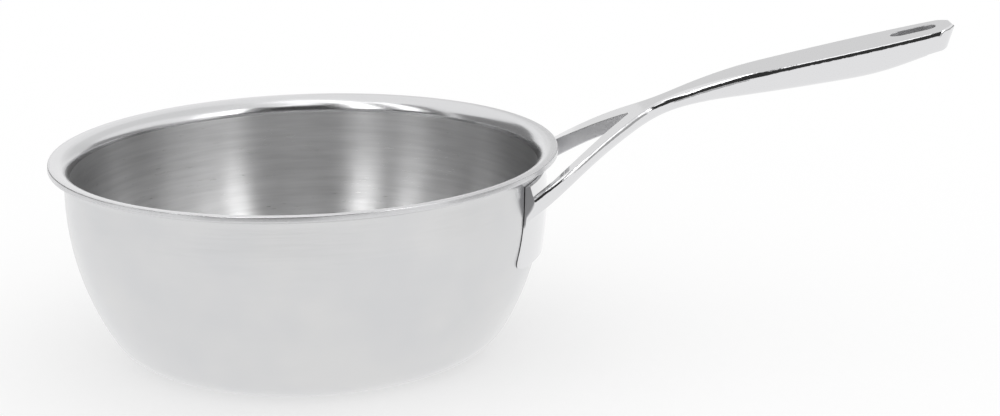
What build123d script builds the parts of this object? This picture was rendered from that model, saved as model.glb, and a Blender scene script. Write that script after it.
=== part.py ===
"""Saucier pan: a five-ply bowl with a flared lip, and one forked steel handle welded to its wall.

Millimetres. The origin is the centre of the flat base, +Z is up and +X runs along the handle.
"""

import os
from math import atan2, cos, degrees, radians, sin, sqrt, tan

from build123d import *

os.makedirs("parts", exist_ok=True)

# Bowl
mouth_radius = 100.0
pan_height = 86.8
straight_wall = 9.3
belly_radius = 117.1
corner_radius = 21.6
lip_bend = 7.0
lip_flat = 2.0

# Plies, from the cooking surface outwards
liner_thickness = 0.5
inner_bond_thickness = 0.25
core_thickness = 1.0
outer_bond_thickness = 0.25
skin_thickness = 0.5

# Ring that closes the plies at the lip
seal_width = 1.4
seal_slope = 6.0
seal_rounding = 0.45

# Line of the handle, seen from the side
handle_reach = 175.3
knee_reach = 52.2
knee_rise = 24.6
knee_radius = 219.0
leg_pitch = 33.2
grip_pitch = 12.0

# Sections of the handle
grip_width = 25.9
grip_depth = 13.6
root_span = 89.2
leg_depth = 6.8
edge_width = 1.9
edge_depth = 3.1

# Fork between the legs
fork_reach = 37.4
fork_angle = 44.8
fork_elbow_half = 34.7
fork_root_drop = 7.6
fork_root_half = 38.7
crotch_rounding = 2.0
leg_rounding = 0.5

# Tip and hang slot
nose_width = 21.2
nose_bulge = 6.5
nose_corner = 8.0
nose_undercut = 17.0
heel_rise = 3.3
nose_rounding = 1.0
crown_rounding = 2.0
heel_rounding = 4.0
trim_slack = 0.1
slot_length = 18.9
slot_width = 9.0
slot_tip_wall = 8.4
slot_rounding = 0.5

# Mounting plate
plate_width = 88.6
plate_top_width = 82.4
plate_side_height = 35.1
plate_bow = 1.5
plate_thickness = 1.1
plate_lean = 1.8
plate_belly = 1.0
plate_corner_setback = 7.6
plate_side_lean = 4.2
plate_lip_gap = 0.9
plate_corner = 4.0
plate_edge_rounding = 0.3

# Cheeks on the sides of the plate, which carry the legs
cheek_top_reach = 1.3
cheek_reach = 3.0
cheek_drop = 6.5
cheek_height = 16.3
cheek_back = 4.0

# Welds between the plate and the wall
weld_gap = 0.25
nugget_radius = 2.0
nugget_columns = 4
nugget_rows = 2
nugget_column_spacing = 18.0
nugget_row_spacing = 16.0

# How far a cutting shape runs past what it cuts
overrun = 5.0

# Shape of a handle section: how its curves fill their corners
edge_pull_share = 0.6
belly_pull_share = 0.62

# Depth of the grip at its tip, and how far back its end trim runs along the underside
tip_depth_share = 0.73
tip_trim_share = 2.5

# Edges of the slot's rim that are this share of its width long are its straight sides
slot_side_share = 0.75

# The nose's own faces start this many corner radii behind its corners
nose_zone_share = 2.0

# Edges of the legs' inner sides run at least this share of the crotch's radius along the handle
leg_edge_share = 0.125

# Place along the reach, width of root_span, depth of leg_depth, flat underside, roll of the edge
fork_shares = (
    (-0.072, 0.960, 1.32, 0.95, 1.0),
    (-0.026, 0.934, 1.32, 0.94, 1.0),
    (0.020, 0.884, 1.26, 0.90, 0.9),
    (0.089, 0.728, 1.07, 0.86, 0.85),
    (0.157, 0.512, 1.00, 0.80, 0.8),
    (0.215, 0.318, 0.99, 0.70, 0.8),
)

# Place along the reach, width of grip_width, depth of grip_depth, flat underside, roll of the edge
grip_shares = (
    (0.249, 0.735, 0.500, 0.55, 0.75),
    (0.283, 0.564, 0.496, 0.40, 0.95),
    (0.318, 0.538, 0.510, 0.32, 1.1),
    (0.364, 0.610, 0.568, 0.28, 1.2),
    (0.421, 0.711, 0.667, 0.28, 1.2),
    (0.484, 0.823, 0.776, 0.29, 1.15),
    (0.552, 0.902, 0.848, 0.30, 1.1),
    (0.627, 0.952, 0.913, 0.31, 1.0),
    (0.702, 0.988, 0.968, 0.32, 1.0),
    (0.776, 1.000, 1.000, 0.37, 1.0),
    (0.839, 0.978, 0.959, 0.42, 1.0),
    (0.902, 0.927, 0.848, 0.47, 1.0),
    (0.965, 0.827, 0.760, 0.52, 1.0),
    (1.039, 0.726, 0.704, 0.54, 1.0),
)

# Sizes that follow
skin_inset = skin_thickness
core_outer_inset = skin_inset + outer_bond_thickness
core_inner_inset = core_outer_inset + core_thickness
liner_outer_inset = core_inner_inset + inner_bond_thickness
wall_thickness = liner_outer_inset + liner_thickness
wall_radius = mouth_radius + wall_thickness
lip_radius = mouth_radius + lip_bend + lip_flat
seam_radius = lip_radius - seal_width
lip_bend_height = pan_height - lip_bend
belly_height = lip_bend_height - straight_wall
belly_centre = wall_radius - belly_radius
corner_rise = belly_height - corner_radius
corner_centre = belly_centre + sqrt((belly_radius - corner_radius) ** 2 - corner_rise**2)
belly_sweep = degrees(atan2(corner_rise, corner_centre - belly_centre))

tip_reach = wall_radius + handle_reach
knee_x = wall_radius + knee_reach
knee_z = pan_height + knee_rise
knee_tangent = knee_radius * tan(radians(leg_pitch - grip_pitch) / 2)
bend_start = knee_x - knee_tangent * cos(radians(leg_pitch))
bend_end = knee_x + knee_tangent * cos(radians(grip_pitch))
bend_centre_x = bend_start + knee_radius * sin(radians(leg_pitch))
bend_centre_z = knee_z - knee_tangent * sin(radians(leg_pitch)) - knee_radius * cos(radians(leg_pitch))

plate_top = lip_bend_height - plate_lip_gap
plate_bottom = plate_top - plate_side_height
plate_low = plate_bottom - plate_bow
plate_middle = (plate_top + plate_low) / 2
plate_spread = (plate_width - plate_top_width) / 2 / plate_side_height
plate_side_x = wall_radius - plate_corner_setback
plate_front_x = wall_radius + plate_thickness
nugget_height = (plate_top + plate_bottom) / 2

crotch_x = wall_radius + fork_reach
fork_elbow_x = crotch_x - fork_elbow_half / tan(radians(fork_angle))
fork_root_x = fork_elbow_x - fork_root_drop
nose_corner_x = tip_reach - nose_bulge
nose_zone_start = nose_corner_x - nose_zone_share * nose_corner
slot_centre = tip_reach - slot_tip_wall - slot_length / 2
cheek_half = (plate_width / 2 - fork_root_half) / 2
cheek_middle = fork_root_half + cheek_half
slot_rim_end = slot_centre + slot_length / 2 + slot_rounding
heel_pitch = grip_pitch + heel_rise


def top_height(x):
    """Height of the handle's top face: a straight leg, one large bend and a straight grip."""
    if x < bend_start:
        return knee_z + (x - knee_x) * tan(radians(leg_pitch))
    if x > bend_end:
        return knee_z + (x - knee_x) * tan(radians(grip_pitch))
    return bend_centre_z + sqrt(knee_radius**2 - (x - bend_centre_x) ** 2)


tip_z = top_height(tip_reach)
tip_over = tip_z + overrun
heel_z = tip_z - grip_depth * tip_depth_share
heel_x = tip_reach - (tip_z - heel_z) * tan(radians(nose_undercut))
trim_start = heel_x - heel_rounding * tip_trim_share
trim_start_z = heel_z - (heel_x - trim_start) * tan(radians(heel_pitch))


def draw_wall_line(inset):
    """Draw the bowl's generating line this far inside its outer face, and return its two ends."""
    corner_line_radius = corner_radius - inset
    belly_line_radius = belly_radius - inset
    bend_line_radius = lip_bend - wall_thickness + inset
    wall_line_radius = wall_radius - inset
    lip_line_height = lip_bend_height + bend_line_radius
    Line((0, inset), (corner_centre, inset))
    CenterArc((corner_centre, corner_radius), corner_line_radius, -90, 90 - belly_sweep)
    CenterArc((belly_centre, belly_height), belly_line_radius, -belly_sweep, belly_sweep)
    Line((wall_line_radius, belly_height), (wall_line_radius, lip_bend_height))
    CenterArc((mouth_radius + lip_bend, lip_bend_height), bend_line_radius, 180, -90)
    Line((mouth_radius + lip_bend, lip_line_height), (seam_radius, lip_line_height))
    return (0, inset), (seam_radius, lip_line_height)


def make_ply(outer_inset, inner_inset):
    """One sheet of the bowl, between two insets from its outer face."""
    with BuildPart() as sheet:
        with BuildSketch(Plane.XZ):
            with BuildLine():
                outer_axis_end, outer_lip_end = draw_wall_line(outer_inset)
                inner_axis_end, inner_lip_end = draw_wall_line(inner_inset)
                Line(outer_axis_end, inner_axis_end)
                Line(outer_lip_end, inner_lip_end)
            make_face()
        revolve(axis=Axis.Z)
    return sheet


# Bowl plies
outer_skin = make_ply(0, skin_inset)
outer_skin.part.label = "outer_skin"
export_step(outer_skin.part, "parts/outer_skin.step")

outer_bond_layer = make_ply(skin_inset, core_outer_inset)
outer_bond_layer.part.label = "outer_bond_layer"
export_step(outer_bond_layer.part, "parts/outer_bond_layer.step")

heat_core = make_ply(core_outer_inset, core_inner_inset)
heat_core.part.label = "heat_core"
export_step(heat_core.part, "parts/heat_core.step")

inner_bond_layer = make_ply(core_inner_inset, liner_outer_inset)
inner_bond_layer.part.label = "inner_bond_layer"
export_step(inner_bond_layer.part, "parts/inner_bond_layer.step")

cooking_liner = make_ply(liner_outer_inset, wall_thickness)
cooking_liner.part.label = "cooking_liner"
export_step(cooking_liner.part, "parts/cooking_liner.step")

# Ring that seals the edges of the plies all round the lip
with BuildPart() as rim_seal:
    with BuildSketch(Plane.XZ) as seal_section:
        with BuildLine():
            Polyline(
                (seam_radius, pan_height - wall_thickness),
                (lip_radius, pan_height - wall_thickness),
                (lip_radius - wall_thickness * tan(radians(seal_slope)), pan_height),
                (seam_radius, pan_height),
                close=True,
            )
        make_face()
        fillet(seal_section.vertices().sort_by(Axis.X)[-2:], radius=seal_rounding)
    revolve(axis=Axis.Z)
rim_seal.part.label = "rim_seal"
export_step(rim_seal.part, "parts/rim_seal.step")


def make_bowl_space(gap):
    """Everything inside the bowl's outer face grown by this gap, open side included."""
    with BuildPart() as space:
        with BuildSketch(Plane.XZ):
            with BuildLine():
                low, lip = draw_wall_line(-gap)
                Polyline(lip, (seam_radius, pan_height + overrun), (0, pan_height + overrun), low)
            make_face()
        revolve(axis=Axis.Z)
    return space


weld_clearance = make_bowl_space(weld_gap)


def plate_half_width(level):
    """Half the distance between the plate's sides at a height. They spread downwards."""
    return plate_top_width / 2 + (plate_top - level) * plate_spread


# Mounting plate: curved round the wall, nearly straight at the bottom, with thin sides
with BuildPart() as plate:
    for level, side_x, front_x in (
        (plate_low, plate_side_x - plate_side_lean, plate_front_x - plate_lean),
        (plate_middle, plate_side_x - plate_side_lean / 2, plate_front_x - plate_lean / 2 + plate_belly),
        (plate_top, plate_side_x, plate_front_x),
    ):
        with BuildSketch(Plane.XY.offset(level)):
            with BuildLine():
                plate_face = ThreePointArc(
                    (side_x, -plate_width / 2),
                    (front_x, 0),
                    (side_x, plate_width / 2),
                )
                Polyline(plate_face @ 1, (0, plate_width / 2), (0, -plate_width / 2), plate_face @ 0)
            make_face()
    loft()
    with BuildSketch(Plane.YZ) as plate_outline:
        with BuildLine():
            plate_upper = Line((plate_top_width / 2, plate_top), (-plate_top_width / 2, plate_top))
            plate_side = Line(plate_upper @ 1, (-plate_width / 2, plate_bottom))
            plate_sweep = ThreePointArc(plate_side @ 1, (0, plate_low), (plate_width / 2, plate_bottom))
            Line(plate_sweep @ 1, plate_upper @ 0)
        make_face()
        fillet(plate_outline.vertices().group_by(Axis.Y)[0], radius=plate_corner)
    extrude(amount=tip_reach, mode=Mode.INTERSECT)
    plate_rim = plate.faces().sort_by(Axis.X)[-1].edges()
    fillet(plate_rim, radius=plate_edge_rounding)


def faces_within(builder, low_x, high_x):
    """Faces of a part in the making that lie wholly between two places along X."""
    return builder.faces().filter_by(
        lambda face: face.bounding_box().min.X > low_x and face.bounding_box().max.X < high_x
    )


def draw_section(half_width, top, depth, floor_share, edge_share):
    """Flat top, rolled upper edges, and sides that turn under to a flat or narrow underside."""
    roll = edge_width * edge_share
    drop = edge_depth * edge_share
    floor_half = half_width * floor_share
    floor = top - depth
    turn = half_width - floor_half
    side = depth - drop
    Line((half_width - roll, top), (roll - half_width, top))
    for hand in (-1, 1):
        Bezier(
            (hand * (half_width - roll), top),
            (hand * (half_width - roll + roll * edge_pull_share), top),
            (hand * half_width, top - drop + drop * edge_pull_share),
            (hand * half_width, top - drop),
        )
        Bezier(
            (hand * half_width, top - drop),
            (hand * half_width, top - drop - side * belly_pull_share),
            (hand * (floor_half + turn * belly_pull_share), floor),
            (hand * floor_half, floor),
        )
    Line((floor_half, floor), (-floor_half, floor))


# Handle: one casting with a grip, a neck, two legs, the mounting plate and a slot to hang it by
with BuildPart() as handle:
    for shares, width, depth in (
        (fork_shares, root_span, leg_depth),
        (grip_shares, grip_width, grip_depth),
    ):
        for place, width_share, depth_share, floor_share, edge_share in shares:
            station = wall_radius + handle_reach * place
            with BuildSketch(Plane.YZ.offset(station)):
                with BuildLine():
                    draw_section(
                        width * width_share / 2,
                        top_height(station),
                        depth * depth_share,
                        floor_share,
                        edge_share,
                    )
                make_face()
    loft()
    # The nose is bowed in plan with round corners, and its underside is set back
    with BuildSketch(Plane.XY.offset(tip_z)) as nose_outline:
        with BuildLine():
            nose = ThreePointArc(
                (nose_corner_x, -nose_width / 2),
                (tip_reach, 0),
                (nose_corner_x, nose_width / 2),
            )
            Polyline(
                nose @ 1,
                (bend_end, root_span),
                (0, root_span),
                (0, -root_span),
                (bend_end, -root_span),
                nose @ 0,
            )
        make_face()
        fillet(nose_outline.vertices().group_by(Axis.X)[-1], radius=nose_corner)
    extrude(amount=pan_height, dir=(-tan(radians(nose_undercut)), 0, -1), mode=Mode.INTERSECT)
    nose_rim = faces_within(handle, nose_zone_start, tip_reach + nose_corner).edges()
    nose_rim = nose_rim.filter_by(lambda edge: edge.geom_type != GeomType.LINE)
    fillet(nose_rim, radius=nose_rounding)
    # Seen from the side, both corners of the tip are round, the lower one more
    with BuildSketch(Plane.XZ) as tip_outline:
        with BuildLine():
            Polyline(
                (heel_x + trim_slack, heel_z - trim_slack),
                (tip_reach + trim_slack, tip_z + trim_slack),
                (trim_start, top_height(trim_start) + trim_slack),
                (trim_start, tip_over),
                (0, tip_over),
                (0, 0),
                (trim_start, 0),
                (trim_start, trim_start_z - trim_slack),
                close=True,
            )
        make_face()
        fillet(tip_outline.vertices().sort_by(Axis.X)[-1], radius=crown_rounding)
        heel = tip_outline.vertices().sort_by_distance((heel_x, 0, heel_z))[0]
        fillet(heel, radius=heel_rounding)
    extrude(amount=root_span, both=True, mode=Mode.INTERSECT)
    # The gap between the legs is a V that opens towards the bowl
    with BuildSketch(Plane.XY.offset(plate_low)) as fork_outline:
        with BuildLine():
            Polyline(
                (crotch_x, 0),
                (fork_elbow_x, fork_elbow_half),
                (fork_root_x, fork_root_half),
                (0, fork_root_half),
                (0, -fork_root_half),
                (fork_root_x, -fork_root_half),
                (fork_elbow_x, -fork_elbow_half),
                close=True,
            )
        make_face()
        fillet(fork_outline.vertices().group_by(Axis.X)[-1], radius=crotch_rounding)
    extrude(amount=pan_height, mode=Mode.SUBTRACT)
    leg_rim = faces_within(handle, fork_elbow_x - leg_rounding, crotch_x + leg_rounding).edges()
    leg_rim = leg_rim.filter_by(lambda edge: edge.bounding_box().size.X > leg_edge_share * crotch_rounding)
    fillet(leg_rim, radius=leg_rounding)
    # The slot goes straight down through the grip
    with BuildSketch(Plane.XY.offset(plate_low)):
        with Locations((slot_centre, 0)):
            SlotOverall(slot_length, slot_width)
    extrude(amount=pan_height + handle_reach, mode=Mode.SUBTRACT)
    slot_rim = faces_within(handle, slot_centre - slot_length, slot_centre + slot_length).edges()
    slot_rim = slot_rim.filter_by(lambda edge: edge.bounding_box().max.X < slot_rim_end)
    slot_rim = slot_rim.filter_by(lambda edge: edge.bounding_box().size.X > slot_side_share * slot_width)
    fillet(slot_rim, radius=slot_rounding)
    # Each leg grows out of a cheek, thickest at the top of the leg and thin below it
    for hand in (-1, 1):
        with BuildSketch(Plane.XZ.offset(hand * cheek_middle)):
            with BuildLine():
                Polyline(
                    (plate_side_x - cheek_back, plate_top),
                    (plate_side_x + cheek_top_reach, plate_top),
                    (plate_side_x + cheek_reach, plate_top - cheek_drop),
                    (plate_side_x - cheek_back, plate_top - cheek_height),
                    close=True,
                )
            make_face()
        extrude(amount=cheek_half, both=True)
    # The legs and cheeks end flush with the sides of the plate
    with BuildSketch(Plane.YZ):
        with BuildLine():
            Polyline(
                (-plate_half_width(plate_low), plate_low),
                (-plate_half_width(tip_over), tip_over),
                (plate_half_width(tip_over), tip_over),
                (plate_half_width(plate_low), plate_low),
                close=True,
            )
        make_face()
    extrude(amount=tip_reach + overrun, mode=Mode.INTERSECT)
    add(plate.part)
    add(weld_clearance.part, mode=Mode.SUBTRACT)
handle.part.label = "handle"
export_step(handle.part, "parts/handle.step")

# Resistance welds: small discs that bridge the gap between the wall and the plate
with BuildPart() as weld_nuggets:
    with BuildSketch(Plane.XZ):
        with BuildLine():
            outer_axis_end, outer_lip_end = draw_wall_line(-weld_gap)
            inner_axis_end, inner_lip_end = draw_wall_line(0)
            Line(outer_axis_end, inner_axis_end)
            Line(outer_lip_end, inner_lip_end)
        make_face()
    revolve(axis=Axis.Z)
    with BuildSketch(Plane.YZ):
        with Locations((0, nugget_height)):
            with GridLocations(nugget_column_spacing, nugget_row_spacing, nugget_columns, nugget_rows):
                Circle(nugget_radius)
    extrude(amount=tip_reach, mode=Mode.INTERSECT)
weld_nuggets.part.label = "weld_nuggets"
export_step(weld_nuggets.part, "parts/weld_nuggets.step")
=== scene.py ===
from math import atan2, cos, pi, radians, sin, sqrt, tan

import bpy
from mathutils import Matrix


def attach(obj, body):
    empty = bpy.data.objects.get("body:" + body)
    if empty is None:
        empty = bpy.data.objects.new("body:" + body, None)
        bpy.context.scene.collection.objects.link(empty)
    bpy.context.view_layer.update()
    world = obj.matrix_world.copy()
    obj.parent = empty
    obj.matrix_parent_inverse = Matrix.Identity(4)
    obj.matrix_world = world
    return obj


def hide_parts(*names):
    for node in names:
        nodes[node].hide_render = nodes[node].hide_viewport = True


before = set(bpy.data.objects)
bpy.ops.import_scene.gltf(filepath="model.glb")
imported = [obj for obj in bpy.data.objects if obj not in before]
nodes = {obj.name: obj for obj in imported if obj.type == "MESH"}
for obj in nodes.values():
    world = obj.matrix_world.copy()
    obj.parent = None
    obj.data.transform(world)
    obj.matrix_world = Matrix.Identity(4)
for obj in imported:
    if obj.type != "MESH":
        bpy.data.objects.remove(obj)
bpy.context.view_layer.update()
scene = bpy.context.scene
scene.view_settings.view_transform = "Standard"

# Places and sizes are in metres, save the camera's sensor and lens, which are in millimetres.
# Camera at the photograph's viewing angle, with its tilts in degrees
sensor_width = 36.0
focal_length = 79.2
near_clip = 0.01
camera_place = (0.0835, -0.9185, 0.3142)
looks_down = 15.547
leans = -1.0

camera_data = bpy.data.cameras.new("camera")
camera_data.sensor_width = sensor_width
camera_data.lens = focal_length
camera_data.clip_start = near_clip
camera = bpy.data.objects.new("camera", camera_data)
camera.location = camera_place
pitch = Matrix.Rotation(radians(90 - looks_down), 3, "X")
camera.rotation_euler = (pitch @ Matrix.Rotation(radians(leans), 3, "Z")).to_euler()
scene.collection.objects.link(camera)
scene.camera = camera

# The middle values of a noise, which a shader spreads over its own range
noise_low = 0.3
noise_high = 0.7

# A quarter of a turn, which lays the gloss of brushed metal across its lines
quarter_turn = 0.25


class Shader:
    """A material's node tree, with short ways to add and join nodes."""

    def __init__(self, name):
        self.material = bpy.data.materials.new(name)
        self.material.use_nodes = True
        self.tree = self.material.node_tree
        self.tree.nodes.clear()
        self.output = self.tree.nodes.new("ShaderNodeOutputMaterial")

    def node(self, kind, **settings):
        made = self.tree.nodes.new(kind)
        for key, value in settings.items():
            setattr(made, key, value)
        return made

    def link(self, source, target):
        self.tree.links.new(source, target)

    def put(self, value, target):
        """Give a socket another node's output, a colour or a number."""
        if isinstance(value, bpy.types.NodeSocket):
            self.link(value, target)
        elif isinstance(value, tuple):
            target.default_value = (*value, 1)
        else:
            target.default_value = value

    def math(self, operation, first, second=None):
        made = self.node("ShaderNodeMath", operation=operation)
        self.put(first, made.inputs[0])
        if second is not None:
            self.put(second, made.inputs[1])
        return made.outputs[0]

    def length(self, first, second):
        squares = [self.math("MULTIPLY", side, side) for side in (first, second)]
        return self.math("SQRT", self.math("ADD", *squares))

    def split(self, vector):
        made = self.node("ShaderNodeSeparateXYZ")
        self.link(vector, made.inputs[0])
        return made.outputs

    def ramp(self, source, low, high, to_low=0.0, to_high=1.0):
        made = self.node("ShaderNodeMapRange")
        made.inputs["From Min"].default_value = low
        made.inputs["From Max"].default_value = high
        made.inputs["To Min"].default_value = to_low
        made.inputs["To Max"].default_value = to_high
        self.link(source, made.inputs["Value"])
        return made.outputs[0]

    def spread(self, noise, to_low=0.0, to_high=1.0):
        return self.ramp(noise, noise_low, noise_high, to_low, to_high)

    def mix(self, kind, factor, first, second):
        """Mix two numbers ("FLOAT") or two colours ("RGBA")."""
        made = self.node("ShaderNodeMix", data_type=kind)
        self.put(factor, made.inputs["Factor"])
        self.put(first, made.inputs["A"])
        self.put(second, made.inputs["B"])
        return made.outputs["Result"]

    def noise(self, vector, scale=1.0, detail=2.0, roughness=0.5):
        made = self.node("ShaderNodeTexNoise")
        made.inputs["Scale"].default_value = scale
        made.inputs["Detail"].default_value = detail
        made.inputs["Roughness"].default_value = roughness
        self.link(vector, made.inputs["Vector"])
        return made.outputs["Fac"]

    def place(self):
        return self.node("ShaderNodeTexCoord").outputs["Object"]

    def stretched(self, x, y, z):
        mapping = self.node("ShaderNodeMapping")
        mapping.inputs["Scale"].default_value = (x, y, z)
        self.link(self.place(), mapping.inputs["Vector"])
        return mapping.outputs["Vector"]

    def rings(self, around, across, **settings):
        """Noise in rings round Z: slow along the ring, fast across it, alike on both sides."""
        x, y, z = self.split(self.place())
        radius = self.length(x, y)
        angle = self.math("ABSOLUTE", self.math("ARCTAN2", y, x))
        joined = self.node("ShaderNodeCombineXYZ")
        self.link(self.math("MULTIPLY", angle, around), joined.inputs[0])
        self.link(self.math("MULTIPLY", radius, across), joined.inputs[1])
        self.link(self.math("MULTIPLY", z, across), joined.inputs[2])
        return self.noise(joined.outputs[0], **settings)

    def metal(self, colour, roughness):
        made = self.node("ShaderNodeBsdfPrincipled")
        self.put(colour, made.inputs["Base Color"])
        self.put(1.0, made.inputs["Metallic"])
        self.put(roughness, made.inputs["Roughness"])
        self.link(made.outputs[0], self.output.inputs[0])
        return made

    def brushed(self, metal, strength):
        """Draw the gloss out across brush lines that run round Z."""
        metal.inputs["Anisotropic"].default_value = strength
        metal.inputs["Anisotropic Rotation"].default_value = quarter_turn
        tangent = self.node("ShaderNodeTangent", direction_type="RADIAL", axis="Z")
        self.link(tangent.outputs[0], metal.inputs["Tangent"])

    def bump(self, metal, height, strength, distance):
        made = self.node("ShaderNodeBump")
        made.inputs["Strength"].default_value = strength
        made.inputs["Distance"].default_value = distance
        self.link(height, made.inputs["Height"])
        self.link(made.outputs[0], metal.inputs["Normal"])

    def emission(self, strength):
        made = self.node("ShaderNodeEmission")
        self.put((1, 1, 1), made.inputs["Color"])
        self.put(strength, made.inputs["Strength"])
        return made.outputs[0]

    def diffuse(self, colour):
        made = self.node("ShaderNodeBsdfDiffuse")
        self.put(colour, made.inputs["Color"])
        return made.outputs[0]

    def mix_shaders(self, factor, first, second):
        made = self.node("ShaderNodeMixShader")
        self.put(factor, made.inputs[0])
        self.link(first, made.inputs[1])
        self.link(second, made.inputs[2])
        return made.outputs[0]


# Inside: brushed round the axis
inside_dark = (0.575, 0.575, 0.578)
inside_light = (0.665, 0.665, 0.668)
inside = Shader("brushed_inside")
lines = inside.rings(around=9.0, across=2300.0, detail=3.0, roughness=0.6)
bands = inside.spread(inside.rings(around=3.0, across=420.0))
metal = inside.metal(
    colour=inside.mix("RGBA", bands, inside_dark, inside_light),
    roughness=inside.spread(lines, 0.27, 0.39),
)
inside.brushed(metal, strength=0.9)
inside.bump(metal, lines, strength=0.5, distance=0.00006)

# Outside: fine satin, nearly even
outside_dark = (0.665, 0.668, 0.678)
outside_light = (0.695, 0.695, 0.697)
outside = Shader("satin_outside")
lines = outside.rings(around=5.0, across=1900.0)
cloud = outside.ramp(outside.noise(outside.place(), scale=34.0), 0.35, 0.65)
metal = outside.metal(
    colour=outside.mix("RGBA", cloud, outside_dark, outside_light),
    roughness=outside.spread(lines, 0.21, 0.27),
)
outside.brushed(metal, strength=0.35)
outside.bump(metal, lines, strength=0.12, distance=0.00003)

# Top of the lip: polished
lip = Shader("polished_lip")
lines = lip.rings(around=9.0, across=2200.0)
metal = lip.metal(colour=(0.70, 0.70, 0.71), roughness=lip.spread(lines, 0.18, 0.24))
lip.bump(metal, lines, strength=0.08, distance=0.00003)

# Closed edge of the lip: ground round and only half polished
rim = Shader("polished_rim")
lines = rim.rings(around=9.0, across=1800.0)
metal = rim.metal(colour=(0.68, 0.68, 0.69), roughness=rim.spread(lines, 0.22, 0.32))
rim.bump(metal, lines, strength=0.1, distance=0.00003)

# Handle: mirror-polished casting, with faint polishing marks along it
polished_colour = (0.74, 0.74, 0.75)
# Painted shade: a darker colour for the walls of the hang slot
slot_painted_shade = (0.52, 0.52, 0.53)
# Painted shade: a still darker colour for the slanted sides of the cheeks
cheek_painted_shade = (0.34, 0.34, 0.35)
grip = Shader("polished_handle")
marks = grip.noise(grip.stretched(120, 1500, 900))
waves = grip.noise(grip.place(), scale=55.0, detail=1.0)
x, y, z = grip.split(grip.place())

# The walls of its hang slot are as cast and rough, and their colour is darkened with painted shade
slot_centre = 0.25995
slot_straight = 0.00495
slot_half_width = 0.0045
slot_edge_start = 0.0001
slot_edge_end = 0.0004
along = grip.math("ABSOLUTE", grip.math("SUBTRACT", x, slot_centre))
past = grip.math("MAXIMUM", grip.math("SUBTRACT", along, slot_straight), 0.0)
from_slot = grip.math("SUBTRACT", grip.length(past, y), slot_half_width)
in_slot = grip.ramp(from_slot, slot_edge_start, slot_edge_end, 1.0, 0.0)

# The slanted sides of the cheeks that carry its legs are as cast and rough too, and their colour is
# darkened further with painted shade
plate_top = 0.0789
plate_bottom = 0.0438
plate_top_half = 0.0412
plate_bottom_half = 0.0443
cheek_foot = 0.0621
cheek_foot_fade = 0.001
cheek_front = 0.098
cheek_front_fade = 0.0005
cheek_side_start = -0.00025
cheek_side_end = -0.0001
plate_half = grip.ramp(z, plate_bottom, plate_top, plate_bottom_half, plate_top_half)
from_side = grip.math("SUBTRACT", grip.math("ABSOLUTE", y), plate_half)
at_side = grip.ramp(from_side, cheek_side_start, cheek_side_end)
above_foot = grip.ramp(z, cheek_foot - cheek_foot_fade, cheek_foot + cheek_foot_fade)
behind_front = grip.ramp(
    x, cheek_front - cheek_front_fade, cheek_front + cheek_front_fade, 1.0, 0.0
)
on_cheek = grip.math("MULTIPLY", at_side, grip.math("MULTIPLY", above_foot, behind_front))

# The upright inner sides of its fork are satin
fork_end = 0.14
fork_fade = 0.005
fork_satin = 0.7
inner_full = -0.5
inner_none = -0.3
slope_full = 0.5
slope_none = 0.7
facing = grip.split(grip.node("ShaderNodeTexCoord").outputs["Normal"])
outwards = grip.math("MULTIPLY", facing[1], grip.math("SIGN", y))
turned_in = grip.ramp(outwards, inner_full, inner_none, 1.0, 0.0)
upright = grip.ramp(grip.math("ABSOLUTE", facing[2]), slope_full, slope_none, 1.0, 0.0)
near_bowl = grip.ramp(x, fork_end, fork_end + fork_fade, fork_satin, 0.0)
in_fork = grip.math("MULTIPLY", turned_in, grip.math("MULTIPLY", upright, near_bowl))

unpolished = grip.math("MAXIMUM", in_fork, grip.math("MAXIMUM", in_slot, on_cheek))
polished_roughness = grip.spread(marks, 0.045, 0.09)
cast_roughness = grip.spread(waves, 0.42, 0.55)
# Painted shade: the slot's walls take the darker colour
colour = grip.mix("RGBA", in_slot, polished_colour, slot_painted_shade)
# Painted shade: the cheeks' slanted sides take the darkest colour
metal = grip.metal(
    colour=grip.mix("RGBA", on_cheek, colour, cheek_painted_shade),
    roughness=grip.mix("FLOAT", unpolished, polished_roughness, cast_roughness),
)
grip.bump(metal, waves, strength=0.08, distance=0.00035)

# Hidden plies and welds
core = Shader("aluminium_core")
lines = core.rings(around=12.0, across=900.0)
core.metal(colour=(0.75, 0.75, 0.76), roughness=core.spread(lines, 0.32, 0.46))

bond = Shader("alloy_bond")
lines = bond.rings(around=12.0, across=1200.0)
bond.metal(colour=(0.72, 0.72, 0.73), roughness=bond.spread(lines, 0.36, 0.5))

weld = Shader("weld_steel")
grain = weld.noise(weld.place(), scale=900.0, detail=3.0)
metal = weld.metal(colour=(0.45, 0.44, 0.43), roughness=weld.spread(grain, 0.4, 0.65))
weld.bump(metal, grain, strength=0.4, distance=0.0001)

for name, shader in (
    ("inner_bond_layer", bond),
    ("heat_core", core),
    ("outer_bond_layer", bond),
    ("handle", grip),
    ("weld_nuggets", weld),
):
    mesh = nodes[name].data
    mesh.materials.clear()
    mesh.materials.append(shader.material)


# The bowl's line, with the sizes that its solids have
mouth_radius = 0.1
pan_height = 0.0868
straight_wall = 0.0093
belly_radius = 0.1171
corner_radius = 0.0216
lip_bend = 0.007
lip_flat = 0.002
sheet_thickness = 0.0005
wall_thickness = 0.0025
seal_width = 0.0014
seal_slope = radians(6)
seal_rounding = 0.00045

wall_radius = mouth_radius + wall_thickness
seam_radius = mouth_radius + lip_bend + lip_flat - seal_width
bend_height = pan_height - lip_bend
belly_height = bend_height - straight_wall
belly_centre = wall_radius - belly_radius
corner_rise = belly_height - corner_radius
corner_centre = belly_centre + sqrt((belly_radius - corner_radius) ** 2 - corner_rise**2)
belly_sweep = atan2(corner_rise, corner_centre - belly_centre)

# How finely the turned pieces are divided
turn_steps = 384
base_steps = 8
corner_steps = 28
belly_steps = 40
bend_steps = 28
seal_steps = 10
sharp_angle = radians(35)
on_axis = 1e-9

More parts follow.
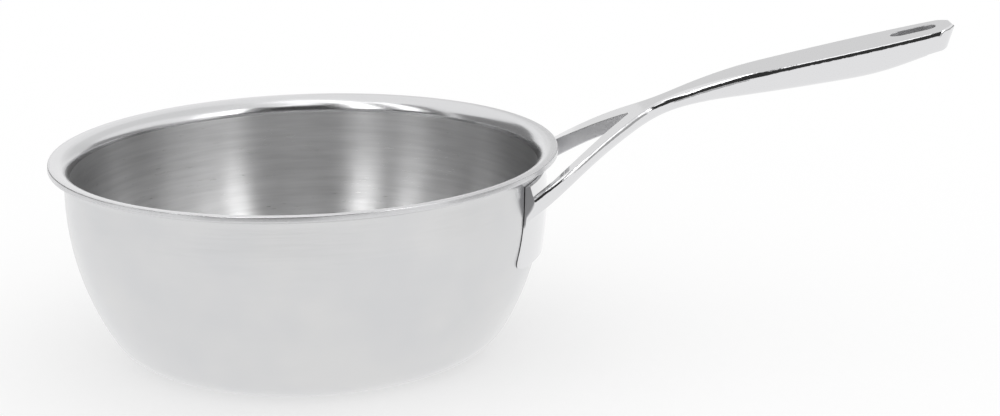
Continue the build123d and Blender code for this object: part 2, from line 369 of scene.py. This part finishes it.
# The liner is polished, not brushed, from this far above the start of its bend
polish_start = 0.0002


def arc(centre, radius, start, end, steps):
    points = []
    for step in range(steps + 1):
        angle = start + (end - start) * step / steps
        points.append((centre[0] + radius * cos(angle), centre[1] + radius * sin(angle)))
    return points


def wall_line(inset):
    """Points of the bowl's line this far inside its outer face, from the axis to the lip's seam."""
    points = [(corner_centre * step / base_steps, inset) for step in range(base_steps)]
    points += arc(
        (corner_centre, corner_radius), corner_radius - inset, -pi / 2, -belly_sweep, corner_steps
    )
    points += arc(
        (belly_centre, belly_height), belly_radius - inset, -belly_sweep, 0, belly_steps
    )[1:]
    bend_radius = lip_bend - wall_thickness + inset
    points += arc((mouth_radius + lip_bend, bend_height), bend_radius, pi, pi / 2, bend_steps)
    points.append((seam_radius, bend_height + bend_radius))
    return points


def lathe(name, outline, materials, second_above=None):
    """A ring or dish turned from a closed outline, with a second material above a height."""
    corners = []
    rings = []
    for radius, height in outline:
        if radius < on_axis:
            rings.append([len(corners)] * turn_steps)
            corners.append((0, 0, height))
            continue
        rings.append(list(range(len(corners), len(corners) + turn_steps)))
        for step in range(turn_steps):
            angle = 2 * pi * step / turn_steps
            corners.append((radius * cos(angle), radius * sin(angle), height))
    faces = []
    shades = []
    for index, ring in enumerate(rings):
        after = rings[(index + 1) % len(rings)]
        if ring[0] == ring[1] and after[0] == after[1]:
            continue
        shade = 1 if second_above is not None and outline[index][1] > second_above else 0
        for step in range(turn_steps):
            turn = (step + 1) % turn_steps
            face = []
            for corner in (ring[step], ring[turn], after[turn], after[step]):
                if corner not in face:
                    face.append(corner)
            faces.append(face)
            shades.append(shade)
    mesh = bpy.data.meshes.new(name)
    mesh.from_pydata(corners, [], faces)
    for material in materials:
        mesh.materials.append(material)
    mesh.polygons.foreach_set("material_index", shades)
    mesh.shade_smooth()
    mesh.set_sharp_from_angle(angle=sharp_angle)
    made = bpy.data.objects.new(name, mesh)
    scene.collection.objects.link(made)
    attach(made, "root")
    return made


liner = lathe(
    "cooking_liner_turned",
    wall_line(wall_thickness - sheet_thickness) + wall_line(wall_thickness)[::-1],
    (inside.material, lip.material),
    second_above=bend_height + polish_start,
)
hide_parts("cooking_liner")

skin = lathe(
    "outer_skin_turned",
    wall_line(0) + wall_line(sheet_thickness)[::-1],
    (outside.material,),
)
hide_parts("outer_skin")

edge_radius = seam_radius + seal_width
seal_low = pan_height - wall_thickness
low_turn = (pi / 2 + seal_slope) / 2
high_turn = (pi / 2 - seal_slope) / 2
low_centre = (edge_radius - seal_rounding / tan(pi / 2 - low_turn), seal_low + seal_rounding)
top_edge = edge_radius - wall_thickness * tan(seal_slope)
high_centre = (top_edge - seal_rounding * tan(high_turn), pan_height - seal_rounding)
seal_line = [(seam_radius, seal_low)]
seal_line += arc(low_centre, seal_rounding, -pi / 2, seal_slope, seal_steps)
seal_line += arc(high_centre, seal_rounding, seal_slope, pi / 2, seal_steps)
seal_line.append((seam_radius, pan_height))
seal = lathe("rim_seal_turned", seal_line, (rim.material,))
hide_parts("rim_seal")


# Studio: a white floor that keeps a light shadow, white surroundings, and cards for reflections
def flat_object(name, corners, faces, material):
    mesh = bpy.data.meshes.new(name)
    mesh.from_pydata(corners, [], faces)
    made = bpy.data.objects.new(name, mesh)
    scene.collection.objects.link(made)
    made.data.materials.append(material)
    return made


floor_side = 1.6
floor_back = 6
floor_colour = (0.85, 0.85, 0.85)
floor_shadow = 0.5

paper = Shader("floor")
path = paper.node("ShaderNodeLightPath")
white = paper.emission(1.0)
shadowed = paper.mix_shaders(floor_shadow, white, paper.diffuse((1, 1, 1)))
seen = paper.mix_shaders(path.outputs["Is Camera Ray"], paper.diffuse(floor_colour), shadowed)
mirrored = paper.mix_shaders(path.outputs["Is Glossy Ray"], seen, white)
paper.link(mirrored, paper.output.inputs[0])
flat_object(
    "floor",
    [
        (-floor_side, -floor_side, 0),
        (floor_side, -floor_side, 0),
        (floor_side, floor_back, 0),
        (-floor_side, floor_back, 0),
    ],
    [(0, 1, 2, 3)],
    paper.material,
)


def glowing(name, corners, faces, strength):
    """A card that shows in reflections only."""
    shader = Shader(name)
    shader.link(shader.emission(strength), shader.output.inputs[0])
    made = flat_object(name, corners, faces, shader.material)
    for ray in ("camera", "diffuse", "shadow", "transmission", "volume_scatter"):
        setattr(made, "visible_" + ray, False)


# Curved cards round a point near the pan's middle
card_centre = (0.05, 0, 0.08)
card_rows = 12
card_steps = 24


def curved_card(name, distance, azimuths, elevations, strength):
    """A piece of a sphere, in degrees. Azimuth 0 is on the camera's side and 90 past the handle."""
    corners = []
    for row in range(card_rows + 1):
        level = radians(elevations[0] + (elevations[1] - elevations[0]) * row / card_rows)
        for step in range(card_steps + 1):
            angle = radians(azimuths[0] + (azimuths[1] - azimuths[0]) * step / card_steps)
            corners.append(
                (
                    card_centre[0] + distance * sin(angle) * cos(level),
                    card_centre[1] - distance * cos(angle) * cos(level),
                    card_centre[2] + distance * sin(level),
                )
            )
    across = card_steps + 1
    faces = []
    for row in range(card_rows):
        for step in range(card_steps):
            start = row * across + step
            faces.append((start, start + 1, start + 1 + across, start + across))
    glowing(name, corners, faces, strength)


# A dark flag in front, white strips and a box above it, and dimmer cards at the sides
for name, distance, azimuths, elevations, strength in (
    ("dark_flag", 2.0, (-76, 49), (3, 55), 0.04),
    ("right_strip", 1.9, (38, 50), (12, 90), 3.5),
    ("far_right_strip", 1.9, (55, 66), (12, 70), 1.7),
    ("left_strip", 1.9, (-37.5, -22.5), (12, 90), 2.75),
    ("far_left_strip", 1.9, (-63, -50), (15, 60), 2.4),
    ("top_box", 1.9, (-8, 24), (42, 98), 1.6),
    ("right_side", 2.0, (84, 150), (-3, 16), 0.3),
    ("left_side", 2.0, (-150, -84), (-3, 28), 0.25),
    ("low_right", 0.6, (62, 100), (-7, 14), 0.45),
):
    curved_card(name, distance, azimuths, elevations, strength)

# Grey cards, each from start to end along X on a line of (y, z) places: three behind and above
# the grip, for its top and upper edge, and a low one in front, for the edge of the lip
for name, start, end, line, strength in (
    ("back_card", 0.06, 0.45, ((0.6, 0.16), (0.6, 0.37)), 0.77),
    ("neck_card", -0.05, 0.06, ((0.6, 0.16), (0.6, 0.37)), 0.87),
    ("over_card", 0.06, 0.45, ((0.6, 0.37), (0.35, 0.52), (-0.32, 0.56)), 0.84),
    ("low_card", -0.5, 0.11, ((-0.62, 0.03), (-0.62, 0.112)), 0.42),
):
    corners = []
    for depth, height in line:
        corners += [(start, depth, height), (end, depth, height)]
    faces = [(i, i + 1, i + 3, i + 2) for i in range(0, len(corners) - 2, 2)]
    glowing(name, corners, faces, strength)

world = bpy.data.worlds.new("surroundings")
scene.world = world
world.use_nodes = True
world.node_tree.nodes["Background"].inputs["Color"].default_value = (1, 1, 1, 1)
world.node_tree.nodes["Background"].inputs["Strength"].default_value = 1.0
